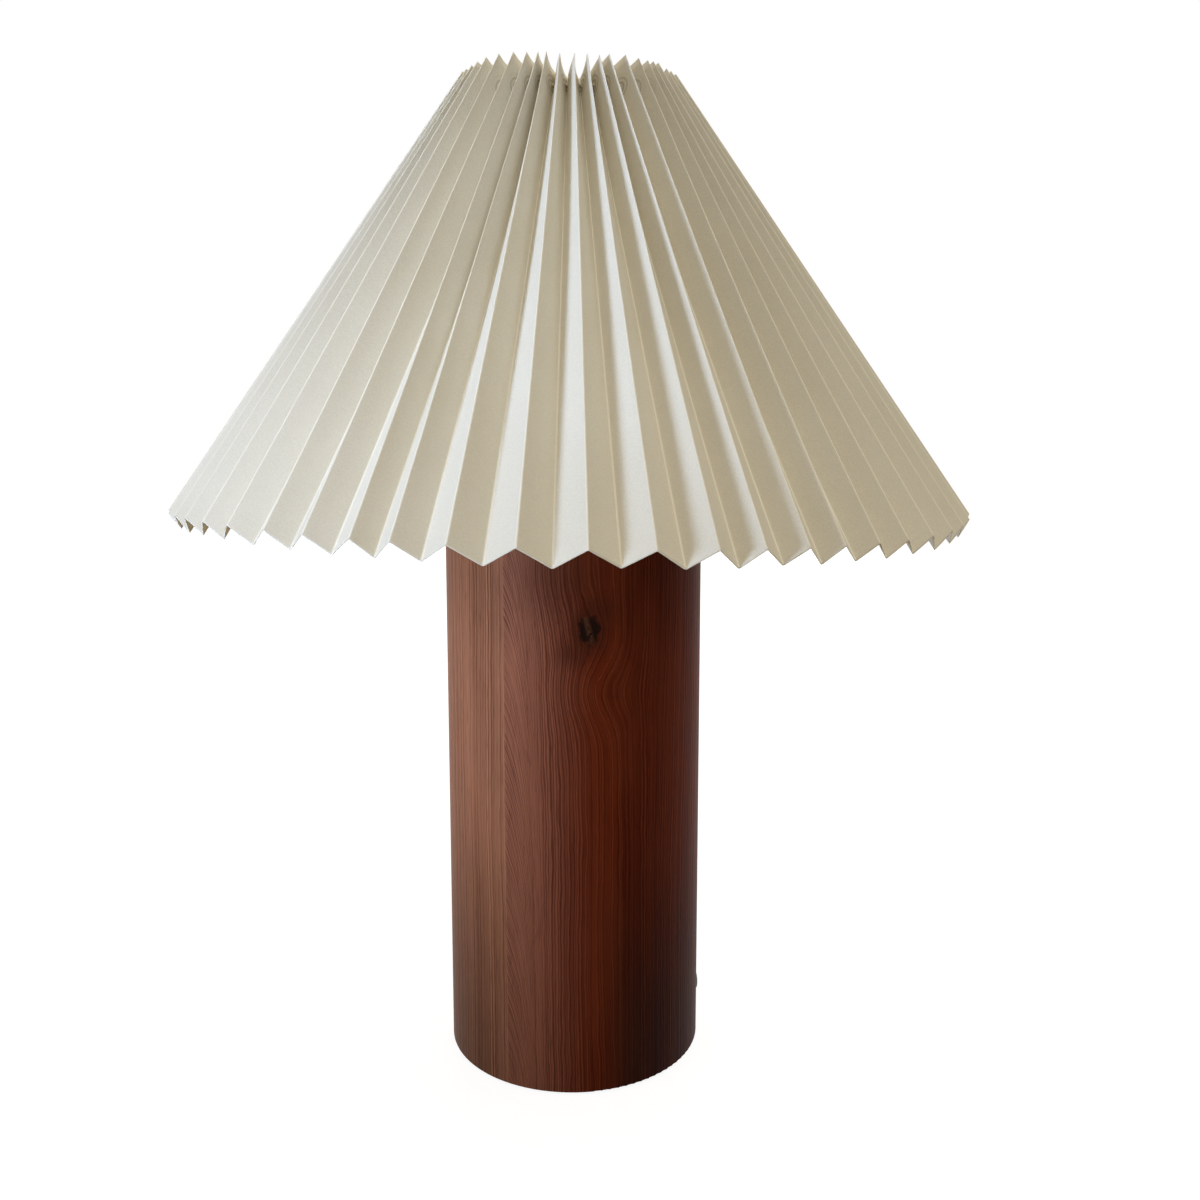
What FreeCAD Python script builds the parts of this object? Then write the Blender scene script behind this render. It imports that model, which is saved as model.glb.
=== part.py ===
"""Pleated paper table lamp: a turned wood cylinder that carries a gathered, pleated paper cone.

Millimetres, +Z up. The origin is the centre of the face that the lamp stands on, on the axis of
the wood, and -Y is the front. Every driving dimension is a named cell of the sheet "Dims".
"""
import FreeCAD, Part
import math
import os
import Sketcher

from FreeCAD import Placement, Rotation, Vector

DIMENSIONS = {
    # wood base and felt
    "base_radius": 66.5,
    "base_top": 300.0,
    "base_stand_off": 0.8,
    "base_edge": 1.0,
    "base_top_edge": 2.0,
    "felt_radius": 58.0,
    "felt_thickness": 2.0,
    "recess_radius": 45.0,
    "recess_roof": 32.0,
    "nut_pocket_radius": 20.0,
    "nut_pocket_roof": 40.0,
    # threaded lamp pipe and what clamps it
    "pipe_radius": 5.0,
    "pipe_bore": 3.8,
    "pipe_top": 317.0,
    "pipe_hole": 5.1,
    "washer_radius": 17.0,
    "washer_thickness": 1.5,
    "nut_across_corners": 16.2,
    "nut_height": 5.0,
    "lock_nut_height": 4.0,
    "plate_radius": 22.0,
    "plate_thickness": 2.0,
    "plate_edge": 0.8,
    # cord bushing
    "cord_height": 22.0,
    "cord_azimuth": 8.0,
    "cord_hole": 4.6,
    "bushing_radius": 4.5,
    "bushing_bore": 3.3,
    "bushing_lip_radius": 5.5,
    "bushing_lip": 1.5,
    # terminal block and the two wires
    "block_start": 16.0,
    "block_length": 20.0,
    "block_width": 18.0,
    "block_depth": 11.0,
    "block_pole": 4.5,
    "block_entry": 2.0,
    "block_entry_depth": 8.0,
    "block_screw_radius": 1.6,
    "block_screw_head": 2.6,
    "wire_radius": 1.2,
    "wire_bend": 5.0,
    "wire_spacing": 1.7,
    "wire_spread": 8.0,
    # lampholder, measured up from its foot on the lock nut
    "holder_radius": 19.5,
    "holder_wall": 2.2,
    "holder_floor": 4.0,
    "holder_round": 6.0,
    "holder_cap_height": 24.0,
    "holder_body_height": 40.0,
    "holder_mouth": 15.2,
    "holder_shoulder": 50.0,
    "holder_thread_start": 33.0,
    "holder_thread_pitch": 2.5,
    "holder_thread_depth": 0.6,
    "insulator_foot": 17.0,
    "insulator_radius": 16.8,
    "insulator_height": 8.0,
    "shell_radius": 14.0,
    "shell_wall": 0.4,
    "shell_wave": 0.5,
    "shell_pitch": 3.6,
    "contact_width": 6.0,
    "contact_reach": 9.0,
    "contact_rise": 4.3,
    "contact_thickness": 0.6,
    "screw_radius": 1.5,
    "screw_head": 2.75,
    "screw_head_height": 2.0,
    "screw_length": 6.0,
    "screw_place": 9.0,
    # switch
    "switch_height": 11.0,
    "switch_block_start": 5.5,
    "switch_block_length": 10.5,
    "switch_block_width": 9.0,
    "spindle_radius": 2.0,
    "spindle_start": 8.5,
    "spindle_fit": 0.05,
    "spindle_hole": 2.5,
    "knob_start": 21.0,
    "knob_length": 12.0,
    "knob_radius": 6.5,
    "knob_socket": 7.0,
    "knob_flute_radius": 0.7,
    # shade rings and wire carrier
    "ring_radius": 27.0,
    "ring_height": 6.0,
    "ring_foot": 35.0,
    "ring_clearance": 0.1,
    "ring_flute_radius": 1.2,
    "body_gap": 0.3,
    "fitter_radius": 31.0,
    "fitter_thickness": 1.6,
    "frame_wire": 1.5,
    "frame_gap": 1.2,
    "frame_bend": 8.0,
    "frame_weld": 0.4,
    "lower_ring_height": 372.0,
    "upper_ring_height": 477.0,
    # pleated shade
    "total_height": 500.0,
    "top_ridge_radius": 55.0,
    "top_valley_radius": 46.6,
    "top_valley_height": 490.5,
    "hem_ridge_radius": 199.0,
    "hem_ridge_height": 287.8,
    "hem_valley_radius": 194.8,
    "hem_valley_height": 281.8,
    "paper_thickness": 0.3,
    "gather_height": 485.0,
    "gather_radius": 53.5,
    "gather_cord": 1.1,
    "gather_hole": 1.25,
    # bulb, measured up from the lampholder's foot
    "bulb_foot": 30.2,
    "bulb_contact_radius": 4.8,
    "bulb_contact_height": 0.9,
    "bulb_insulator_height": 2.4,
    "bulb_cap_radius": 13.0,
    "bulb_cap_height": 24.0,
    "bulb_cap_wall": 0.5,
    "bulb_cap_wave": 0.7,
    "bulb_radius": 30.0,
    "bulb_length": 105.0,
    "bulb_glass": 1.0,
    "bulb_neck_curve": 30.0,
    "stem_radius": 4.0,
    "stem_length": 34.0,
    "filament_radius": 0.9,
    "filament_length": 34.0,
    "filament_lean": 9.0,
}

PLEATS = 58
THREAD_TURNS = 9
SHELL_WAVES = 6
CAP_WAVES = 5
RING_FLUTES = 24
KNOB_FLUTES = 16
ARMS = 3
FILAMENTS = 4

doc = FreeCAD.newDocument("pleated_table_lamp")
sheet = doc.addObject("Spreadsheet::Sheet", "Dims")
parts = []


def fill_sheet():
    """One row per driving dimension: its words in column A, its value with an alias in column B."""
    for row, (alias, millimetres) in enumerate(DIMENSIONS.items(), start=1):
        sheet.set("A%d" % row, alias.replace("_", " "))
        sheet.set("B%d" % row, str(millimetres))
        sheet.setAlias("B%d" % row, alias)
    doc.recompute()


def size(alias):
    """The value of a cell of the sheet, in millimetres."""
    return float(sheet.get(alias))


def linked(words):
    """Turn plain words such as "base_top + nut_height" into an expression on the sheet's cells."""
    for alias in sorted(DIMENSIONS, key=len, reverse=True):
        words = words.replace(alias, "<%d>" % list(DIMENSIONS).index(alias))
    for index, alias in enumerate(DIMENSIONS):
        words = words.replace("<%d>" % index, "Dims." + alias)
    return words


def value_of(words):
    """The present value of such words."""
    return float(sheet.evalExpression(linked(words).replace("Dims.", "")))


def bind(item, **sizes):
    """Bind properties of a document object to words."""
    for name, words in sizes.items():
        item.setExpression(name, linked(words))


def keep(item, label):
    """Name a finished sub-part."""
    item.Label = label
    parts.append(item)
    return item


def origin_plane(body, role):
    """One of the body's own origin planes."""
    return [f for f in body.Origin.OriginFeatures if f.Role == role][0]


def new_sketch(body, name, role):
    """An empty sketch on an origin plane of its own body."""
    sketch = body.newObject("Sketcher::SketchObject", name)
    sketch.AttachmentSupport = [(origin_plane(body, role), "")]
    sketch.MapMode = "FlatFace"
    return sketch


def follow(sketch, index, words):
    """Let a constraint follow the cells that its words name, if they name any."""
    if any(letter.isalpha() for letter in words):
        sketch.setExpression("Constraints[%d]" % index, linked(words))


def placed(sketch, kind, geometry, point, words):
    """Set how far a point of the sketch lies across or up from the sketch's origin."""
    index = sketch.addConstraint(Sketcher.Constraint(kind, -1, 1, geometry, point, value_of(words)))
    follow(sketch, index, words)


def closed_outline(sketch, corners):
    """A closed outline of straight lines; each corner is a pair of words, across and up."""
    points = [Vector(value_of(across), value_of(up), 0) for across, up in corners]
    count = len(points)
    for i in range(count):
        sketch.addGeometry(Part.LineSegment(points[i], points[(i + 1) % count]), False)
    for i in range(count):
        sketch.addConstraint(Sketcher.Constraint("Coincident", i, 2, (i + 1) % count, 1))
    for i, (across, up) in enumerate(corners):
        placed(sketch, "DistanceX", i, 1, across)
        placed(sketch, "DistanceY", i, 1, up)


def circle_outline(sketch, across, up, radius):
    """One circle whose centre and radius are words."""
    centre = Vector(value_of(across), value_of(up), 0)
    circle = sketch.addGeometry(Part.Circle(centre, Vector(0, 0, 1), value_of(radius)), False)
    placed(sketch, "DistanceX", circle, 3, across)
    placed(sketch, "DistanceY", circle, 3, up)
    index = sketch.addConstraint(Sketcher.Constraint("Radius", circle, value_of(radius)))
    follow(sketch, index, radius)


def turned(label, corners):
    """A body turned about its own Z axis from an outline of (radius, height) words."""
    body = doc.addObject("PartDesign::Body", label)
    sketch = new_sketch(body, label + "_profile", "XZ_Plane")
    closed_outline(sketch, corners)
    turn = body.newObject("PartDesign::Revolution", label + "_turning")
    turn.Profile = sketch
    turn.ReferenceAxis = (sketch, ["V_Axis"])
    turn.Angle = 360.0
    doc.recompute()
    return keep(body, label)


def drilled(body, name, role, across, up, radius, depth, reverse):
    """A round pocket, or a flute, cut into a body; it must take material away."""
    before = body.Shape.Volume
    sketch = new_sketch(body, name + "_circle", role)
    circle_outline(sketch, across, up, radius)
    pocket = body.newObject("PartDesign::Pocket", name)
    pocket.Profile = sketch
    pocket.Reversed = reverse
    pocket.Length = value_of(depth)
    pocket.setExpression("Length", linked(depth))
    doc.recompute()
    if not body.Shape.Volume < before - 0.5:
        raise ValueError(name + " cuts nothing")
    return pocket


def repeated(body, feature, name, count):
    """A polar pattern of one feature about the body's Z axis."""
    pattern = body.newObject("PartDesign::PolarPattern", name)
    pattern.Originals = [feature]
    pattern.Axis = ([f for f in body.Origin.OriginFeatures if f.Role == "Z_Axis"][0], [""])
    pattern.Angle = 360.0
    pattern.Occurrences = count
    body.Tip = pattern
    doc.recompute()
    return pattern


def cylinder(name, radius, height, foot="0", x="0", y="0"):
    """A Part cylinder whose sizes and place are words."""
    item = doc.addObject("Part::Cylinder", name)
    bind(item, Radius=radius, Height=height)
    item.setExpression(".Placement.Base.x", linked(x))
    item.setExpression(".Placement.Base.y", linked(y))
    item.setExpression(".Placement.Base.z", linked(foot))
    return item


def cut(label, base, tool):
    """One Part shape less another."""
    item = doc.addObject("Part::Cut", label)
    item.Base = base
    item.Tool = tool
    doc.recompute()
    return item


def group_of(label, members):
    """Separate like solids in one sub-part."""
    item = doc.addObject("Part::Compound", label)
    item.Links = members
    doc.recompute()
    return keep(item, label)


def shaped(label, shape):
    """A sub-part whose shape Part's own functions made."""
    item = doc.addObject("Part::Feature", label)
    item.Shape = shape
    item.Placement = Placement()
    return keep(item, label)


HOLDER = "base_top + plate_thickness + lock_nut_height"
FITTER = HOLDER + " + ring_foot + ring_height + body_gap"


# ---------------------------------------------------------------- wood base

def round_edges(body, name, height, radius, alias):
    """Round the outer edge of the wood at one height."""
    turn = body.Tip
    names = []
    for index, edge in enumerate(turn.Shape.Edges, start=1):
        box = edge.BoundBox
        flat = abs(box.ZMin - height) < 0.01 and abs(box.ZMax - height) < 0.01
        if flat and abs(box.XMax - radius) < 0.01:
            names.append("Edge%d" % index)
    fillet = body.newObject("PartDesign::Fillet", name)
    fillet.Base = (turn, names)
    fillet.setExpression("Radius", linked(alias))
    doc.recompute()


def make_base():
    """The wood cylinder: stepped recess below, pipe hole up its axis and cord hole in its wall."""
    floor = "base_stand_off"
    seat = "felt_thickness"
    felt_wall = "felt_radius + 0.3"
    body = turned("wood_base", [
        (felt_wall, floor), ("base_radius", floor), ("base_radius", "base_top"),
        ("pipe_hole", "base_top"), ("pipe_hole", "nut_pocket_roof"),
        ("nut_pocket_radius", "nut_pocket_roof"), ("nut_pocket_radius", "recess_roof"),
        ("recess_radius", "recess_roof"), ("recess_radius", seat), (felt_wall, seat)])
    round_edges(body, "wood_foot_rounding", size("base_stand_off"), size("base_radius"), "base_edge")
    round_edges(body, "wood_top_rounding", size("base_top"), size("base_radius"), "base_top_edge")
    drilled(body, "wood_cord_hole", "YZ_Plane", "0", "cord_height", "cord_hole",
            "base_radius + 10", True)
    body.Placement = Placement(Vector(), Rotation(Vector(0, 0, 1), size("cord_azimuth")))
    turned("felt_pad", [("0", "0"), ("felt_radius", "0"), ("felt_radius", "felt_thickness"),
                        ("0", "felt_thickness")])


def make_bushing():
    """The bushing that lines the cord hole, with a lip outside the wood."""
    inner = "recess_radius + 0.5"
    outer = "base_radius + 0.05"
    body = turned("cord_bushing", [
        ("bushing_bore", inner), ("bushing_radius", inner), ("bushing_radius", outer),
        ("bushing_lip_radius", outer), ("bushing_lip_radius", outer + " + bushing_lip - 0.6"),
        ("bushing_lip_radius - 0.6", outer + " + bushing_lip"),
        ("bushing_bore", outer + " + bushing_lip")])
    across = Rotation(Vector(0, 0, 1), size("cord_azimuth")) * Rotation(Vector(0, 1, 0), 90)
    body.Placement = Placement(Vector(0, 0, size("cord_height")), across)


# ---------------------------------------------------------------- pipe, nuts and plate

def hexagon_nut(label, foot, height):
    """A hexagon nut on the lamp pipe."""
    prism = doc.addObject("Part::Prism", label + "_hexagon")
    prism.Polygon = 6
    bind(prism, Circumradius="nut_across_corners / 2", Height=height)
    prism.setExpression(".Placement.Base.z", linked(foot))
    bore = cylinder(label + "_bore", "pipe_radius + 0.05", height, foot)
    keep(cut(label, prism, bore), label)


def make_pipe_parts():
    """The threaded pipe, its washer and nut below, the cover plate and lock nut above."""
    foot = "recess_roof + 0.5"
    height = "pipe_top - recess_roof - 0.5"
    outside = cylinder("pipe_outside", "pipe_radius", height, foot)
    inside = cylinder("pipe_inside", "pipe_bore", height, foot)
    keep(cut("lamp_pipe", outside, inside), "lamp_pipe")
    hexagon_nut("bottom_nut", "nut_pocket_roof - washer_thickness - nut_height", "nut_height")
    hexagon_nut("lock_nut", "base_top + plate_thickness", "lock_nut_height")
    under = "nut_pocket_roof - washer_thickness"
    turned("bottom_washer", [("pipe_hole", under), ("washer_radius", under),
                             ("washer_radius", "nut_pocket_roof"), ("pipe_hole", "nut_pocket_roof")])
    top = "base_top + plate_thickness"
    turned("cover_plate", [
        ("pipe_hole", "base_top"), ("plate_radius", "base_top"), ("plate_radius", top + " - plate_edge"),
        ("plate_radius - plate_edge", top), ("pipe_hole", top)])


# ---------------------------------------------------------------- wires and terminal block

def bent_path(points, bends):
    """Straight runs through the points, joined by tangent arcs of the given radii."""
    edges = []
    start = points[0]
    for i in range(1, len(points) - 1):
        before = (points[i - 1] - points[i]).normalize()
        after = (points[i + 1] - points[i]).normalize()
        half = before.getAngle(after) / 2
        reach = bends[i - 1] / math.tan(half)
        middle = (before + after).normalize()
        centre = points[i] + middle * (bends[i - 1] / math.sin(half))
        first, last = points[i] + before * reach, points[i] + after * reach
        edges.append(Part.makeLine(start, first))
        edges.append(Part.Arc(first, centre - middle * bends[i - 1], last).toShape())
        start = last
    edges.append(Part.makeLine(start, points[-1]))
    return Part.Wire(edges)


def rod(points, bends, radius):
    """A round wire along a bent path."""
    path = bent_path(points, bends)
    along = (points[1] - points[0]).normalize()
    section = Part.Wire([Part.makeCircle(radius, points[0], along)])
    solid = path.makePipeShell([section], True, False)
    expected = math.pi * radius ** 2 * path.Length
    if abs(solid.Volume - expected) > 0.02 * expected:
        raise ValueError("a wire's volume is wrong")
    return solid


def make_terminal_block():
    """The block hangs under the recess roof, on the side away from the cord hole."""
    box = doc.addObject("Part::Box", "block_box")
    bind(box, Length="block_length", Width="block_width", Height="block_depth")
    box.setExpression(".Placement.Base.x", linked("-block_start - block_length"))
    box.setExpression(".Placement.Base.y", linked("-block_width / 2"))
    box.setExpression(".Placement.Base.z", linked("recess_roof - block_depth"))
    middle = "-block_start - block_length / 2"
    holes = []
    for side, sign in (("live", ""), ("neutral", "-")):
        entry = doc.addObject("Part::Cylinder", "block_entry_" + side)
        bind(entry, Radius="block_entry", Height="block_entry_depth")
        entry.Placement = Placement(Vector(), Rotation(Vector(0, 1, 0), -90))
        entry.setExpression(".Placement.Base.x", linked("-block_start"))
        entry.setExpression(".Placement.Base.y", linked(sign + "block_pole"))
        entry.setExpression(".Placement.Base.z", linked("recess_roof - block_depth / 2"))
        holes.append(entry)
        holes.append(cylinder("block_well_" + side, "block_screw_radius + 0.05", "block_depth / 2",
                              "recess_roof - block_depth", middle, sign + "block_pole"))
    holes.append(cylinder("block_fixing_hole", "block_screw_radius + 0.05", "block_depth",
                          "recess_roof - block_depth", middle))
    tools = doc.addObject("Part::MultiFuse", "block_holes")
    tools.Shapes = holes
    keep(cut("terminal_block", box, tools), "terminal_block")
    clamps = []
    for side, sign in (("live", ""), ("neutral", "-")):
        clamps.append(cylinder("block_clamp_" + side, "block_screw_radius", "3",
                               "recess_roof - block_depth", middle, sign + "block_pole"))
    group_of("block_clamp_screws", clamps)
    screw = doc.addObject("Part::MultiFuse", "block_fixing_screw")
    screw.Shapes = [
        cylinder("fixing_head", "block_screw_head", "1.5", "recess_roof - block_depth - 1.5", middle),
        cylinder("fixing_shank", "block_screw_radius", "block_depth", "recess_roof - block_depth", middle)]
    doc.recompute()
    keep(screw, "block_fixing_screw")


def make_wires():
    """Two wires: terminal block, up the pipe, and out to the insulator of the lampholder."""
    entry_height = size("recess_roof") - size("block_depth") / 2
    insulator = value_of(HOLDER + " + insulator_foot")
    pipe_top = size("pipe_top")
    mouth = 1 - size("block_start")
    for name, sign in (("wire_live", 1), ("wire_neutral", -1)):
        inner = sign * size("wire_spacing")
        outer = sign * size("wire_spread")
        pole = sign * size("block_pole")
        points = [
            Vector(mouth - size("block_entry_depth"), pole, entry_height),
            Vector(mouth, pole, entry_height),
            Vector(0, inner, entry_height),
            Vector(0, inner, pipe_top + 0.8),
            Vector(0, outer, insulator - 1.6),
            Vector(0, outer, insulator + 2.5)]
        bend = size("wire_bend")
        shaped(name, rod(points, [bend, bend, bend * 0.4, bend * 0.3], size("wire_radius")))


# ---------------------------------------------------------------- lampholder

def make_holder_cap():
    """The closed lower half of the lampholder, screwed on the pipe, with a hole for the spindle."""
    foot, top = HOLDER, HOLDER + " + holder_cap_height"
    inner = "holder_radius - holder_wall"
    floor = HOLDER + " + holder_floor"
    corners = [("pipe_radius + 0.05", foot), ("holder_radius - holder_round", foot)]
    for degrees in (30, 60):
        turn = math.radians(degrees)
        corners.append(("holder_radius - holder_round * %.4f" % (1 - math.sin(turn)),
                        foot + " + holder_round * %.4f" % (1 - math.cos(turn))))
    corners += [("holder_radius", foot + " + holder_round"), ("holder_radius", top), (inner, top),
                (inner, floor), ("pipe_radius + 0.05", floor)]
    body = turned("holder_cap", corners)
    drilled(body, "cap_spindle_hole", "YZ_Plane", "0", HOLDER + " + switch_height",
            "spindle_hole", "holder_radius + 5", True)


def make_holder_body():
    """The upper half of the lampholder, with the outside thread that the shade rings run on."""
    foot, top = HOLDER + " + holder_cap_height", HOLDER + " + holder_cap_height + holder_body_height"
    shoulder = HOLDER + " + holder_shoulder"
    inner = "holder_radius - holder_wall"
    corners = [(inner, foot), ("holder_radius", foot)]
    start = HOLDER + " + holder_thread_start"
    root = "holder_radius - holder_thread_depth"
    for turn in range(THREAD_TURNS):
        low = start + " + holder_thread_pitch * %d" % turn
        corners += [("holder_radius", low), (root, low + " + holder_thread_pitch * 0.35"),
                    (root, low + " + holder_thread_pitch * 0.5"),
                    ("holder_radius", low + " + holder_thread_pitch * 0.85")]
    corners += [("holder_radius", top + " - 1.2"), ("holder_radius - 1.2", top), ("holder_mouth", top),
                ("holder_mouth", shoulder), (inner, shoulder)]
    turned("holder_body", corners)


def make_insulator():
    """The disc that carries the contacts, with its wire holes and screw holes."""
    foot = HOLDER + " + insulator_foot"
    disc = cylinder("insulator_disc", "insulator_radius", "insulator_height", foot)
    holes = []
    for side, sign in (("live", ""), ("neutral", "-")):
        holes.append(cylinder("insulator_wire_hole_" + side, "wire_radius + 0.2", "3", foot, "0",
                              sign + "wire_spread"))
        holes.append(cylinder("insulator_screw_hole_" + side, "screw_radius + 0.05", "screw_length", foot,
                              "-screw_place", sign + "screw_place"))
    tools = doc.addObject("Part::MultiFuse", "insulator_holes")
    tools.Shapes = holes
    keep(cut("holder_insulator", disc, tools), "holder_insulator")
    screws = []
    for side, sign in (("live", ""), ("neutral", "-")):
        head = cylinder("terminal_head_" + side, "screw_head", "screw_head_height",
                        foot + " - screw_head_height", "-screw_place", sign + "screw_place")
        shank = cylinder("terminal_shank_" + side, "screw_radius", "screw_length", foot, "-screw_place",
                         sign + "screw_place")
        screw = doc.addObject("Part::MultiFuse", "terminal_screw_" + side)
        screw.Shapes = [head, shank]
        screws.append(screw)
    group_of("terminal_screws", screws)


def wavy_wall(foot, radius, wave, pitch, waves, wall):
    """Corners of a thin wall rolled into thread waves: up the outside, down the inside."""
    outside, inside = [], []
    for step in range(2 * waves + 1):
        height = foot + " + %s * %.1f" % (pitch, step / 2)
        bulge = radius if step % 2 else radius + " + " + wave
        outside.append((bulge, height))
        inside.append((bulge + " - " + wall, height))
    return outside + inside[::-1]


def make_contacts():
    """The brass screw shell and the springy centre contact."""
    foot = HOLDER + " + insulator_foot + insulator_height"
    turned("screw_shell", wavy_wall(foot, "shell_radius", "shell_wave", "shell_pitch", SHELL_WAVES,
                                    "shell_wall"))
    body = doc.addObject("PartDesign::Body", "centre_contact")
    sketch = new_sketch(body, "contact_profile", "XZ_Plane")
    rise, thick = " + contact_rise", " + contact_thickness"
    closed_outline(sketch, [
        ("-contact_reach", foot), ("-contact_reach * 0.45", foot), ("contact_reach * 0.1", foot + rise),
        ("contact_reach * 0.5", foot + rise), ("contact_reach * 0.5", foot + rise + thick),
        ("contact_reach * 0.1 - 0.3", foot + rise + thick),
        ("-contact_reach * 0.45 - 0.3", foot + thick), ("-contact_reach", foot + thick)])
    pad = body.newObject("PartDesign::Pad", "contact_strip")
    pad.Profile = sketch
    pad.Midplane = True
    pad.setExpression("Length", linked("contact_width"))
    doc.recompute()
    keep(body, "centre_contact")


# ---------------------------------------------------------------- switch

def make_switch():
    """The switch block inside the cap, and the knob on its spindle."""
    height = HOLDER + " + switch_height"
    box = doc.addObject("Part::Box", "switch_box")
    bind(box, Length="switch_block_length", Width="switch_block_width", Height="switch_block_width")
    box.setExpression(".Placement.Base.x", linked("switch_block_start"))
    box.setExpression(".Placement.Base.y", linked("-switch_block_width / 2"))
    box.setExpression(".Placement.Base.z", linked(height + " - switch_block_width / 2"))
    bore = doc.addObject("Part::Cylinder", "switch_bore")
    bind(bore, Radius="spindle_radius + spindle_fit", Height="switch_block_length")
    bore.Placement = Placement(Vector(), Rotation(Vector(0, 1, 0), 90))
    bore.setExpression(".Placement.Base.x", linked("spindle_start - 0.3"))
    bore.setExpression(".Placement.Base.z", linked(height))
    keep(cut("switch_block", box, bore), "switch_block")
    sideways = Placement(Vector(0, 0, value_of(height)), Rotation(Vector(0, 1, 0), 90))
    spindle_end = "knob_start + knob_socket"
    spindle = turned("switch_spindle", [
        ("0", "spindle_start"), ("spindle_radius", "spindle_start"), ("spindle_radius", spindle_end),
        ("0", spindle_end)])
    spindle.Placement = sideways
    knob_end = "knob_start + knob_length"
    socket = "spindle_radius + 0.02"
    knob = turned("switch_knob", [
        (socket, "knob_start"), ("knob_radius - 0.8", "knob_start"), ("knob_radius", "knob_start + 0.8"),
        ("knob_radius", knob_end + " - 1.2"), ("knob_radius - 1.2", knob_end), ("0", knob_end),
        ("0", spindle_end), (socket, spindle_end)])
    flute = drilled(knob, "knob_flute", "XY_Plane", "knob_radius + 0.3", "0", "knob_flute_radius",
                    knob_end + " + 1", True)
    repeated(knob, flute, "knob_flutes", KNOB_FLUTES)
    knob.Placement = sideways


# ---------------------------------------------------------------- shade rings and wire carrier

def make_shade_rings():
    """The two fluted rings that hold the carrier on the lampholder's thread."""
    bore = "holder_radius + ring_clearance"
    low = HOLDER + " + ring_foot"
    high = FITTER + " + fitter_thickness + body_gap"
    for label, foot in (("shade_ring_lower", low), ("shade_ring_upper", high)):
        top = foot + " + ring_height"
        ring = turned(label, [
            (bore, foot), ("ring_radius - 0.7", foot), ("ring_radius", foot + " + 0.7"),
            ("ring_radius", top + " - 0.7"), ("ring_radius - 0.7", top), (bore, top)])
        flute = drilled(ring, label + "_flute", "XY_Plane", "ring_radius + 0.5", "0",
                        "ring_flute_radius", top + " + 1", True)
        repeated(ring, flute, label + "_flutes", RING_FLUTES)


def valley_line():
    """The lower end and the upward unit direction of a valley fold's inner side, in radius and height."""
    hem = Vector(size("hem_valley_radius"), 0, size("hem_valley_height"))
    top = Vector(size("top_valley_radius"), 0, size("top_valley_height"))
    return hem, (top - hem).normalize()


def frame_circle_radius(height, inward):
    """Radius at a height of the line that lies a given distance inside the valley folds."""
    hem, up = valley_line()
    into = Vector(-abs(up.z), 0, -abs(up.x))
    start = hem + into * inward
    return start.x + up.x / up.z * (height - start.z)


def make_carrier():
    """Flat fitter ring, two wire rings and the bent arms that join them."""
    foot = value_of(FITTER)
    middle = foot + size("fitter_thickness") / 2
    wire = size("frame_wire")
    paper_room = 1.5 + size("frame_gap") + wire
    fitter = turned("carrier_fitter", [
        ("holder_radius + body_gap + 0.1", FITTER), ("fitter_radius", FITTER),
        ("fitter_radius", FITTER + " + fitter_thickness"),
        ("holder_radius + body_gap + 0.1", FITTER + " + fitter_thickness")])
    rings = []
    for level in ("lower", "upper"):
        height = level + "_ring_height"
        ring = doc.addObject("Part::Torus", "carrier_%s_ring" % level)
        bind(ring, Radius2="frame_wire")
        ring.Radius1 = frame_circle_radius(size(height), paper_room)
        ring.setExpression(".Placement.Base.z", linked(height))
        doc.recompute()
        rings.append(keep(ring, "carrier_%s_ring" % level))
    arm_room = paper_room + 2 * wire - size("frame_weld")
    tip_height = size("upper_ring_height") + 2 * wire
    points = [
        Vector(size("fitter_radius") - 2, 0, middle),
        Vector(frame_circle_radius(middle, arm_room), 0, middle),
        Vector(frame_circle_radius(tip_height, arm_room), 0, tip_height)]
    arm = rod(points, [size("frame_bend")], wire)
    arm = arm.cut(fitter.Shape).cut(rings[0].Shape).cut(rings[1].Shape)
    arms = []
    for turn in range(ARMS):
        copy = arm.copy()
        copy.rotate(Vector(), Vector(0, 0, 1), 90 + turn * 360 / ARMS)
        arms.append(copy)
    shaped("carrier_arms", Part.makeCompound(arms))


# ---------------------------------------------------------------- pleated shade

def fold_ends(kind):
    """Hem end and top end of a fold, in radius and height, and its outward normal."""
    hem = Vector(size("hem_%s_radius" % kind), 0, size("hem_%s_height" % kind))
    top_height = size("total_height") if kind == "ridge" else size("top_valley_height")
    top = Vector(size("top_%s_radius" % kind), 0, top_height)
    up = (top - hem).normalize()
    return hem, top, Vector(abs(up.z), 0, abs(up.x))


def fold_depth(radius, ridge, valley):
    """How far the paper's inner side lies under a fold, so that each facet keeps its thickness."""
    half_width = radius * math.sin(math.pi / PLEATS)
    depth = (ridge - valley).Length
    facet = math.hypot(half_width, depth)
    return size("paper_thickness") * facet / half_width


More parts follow.
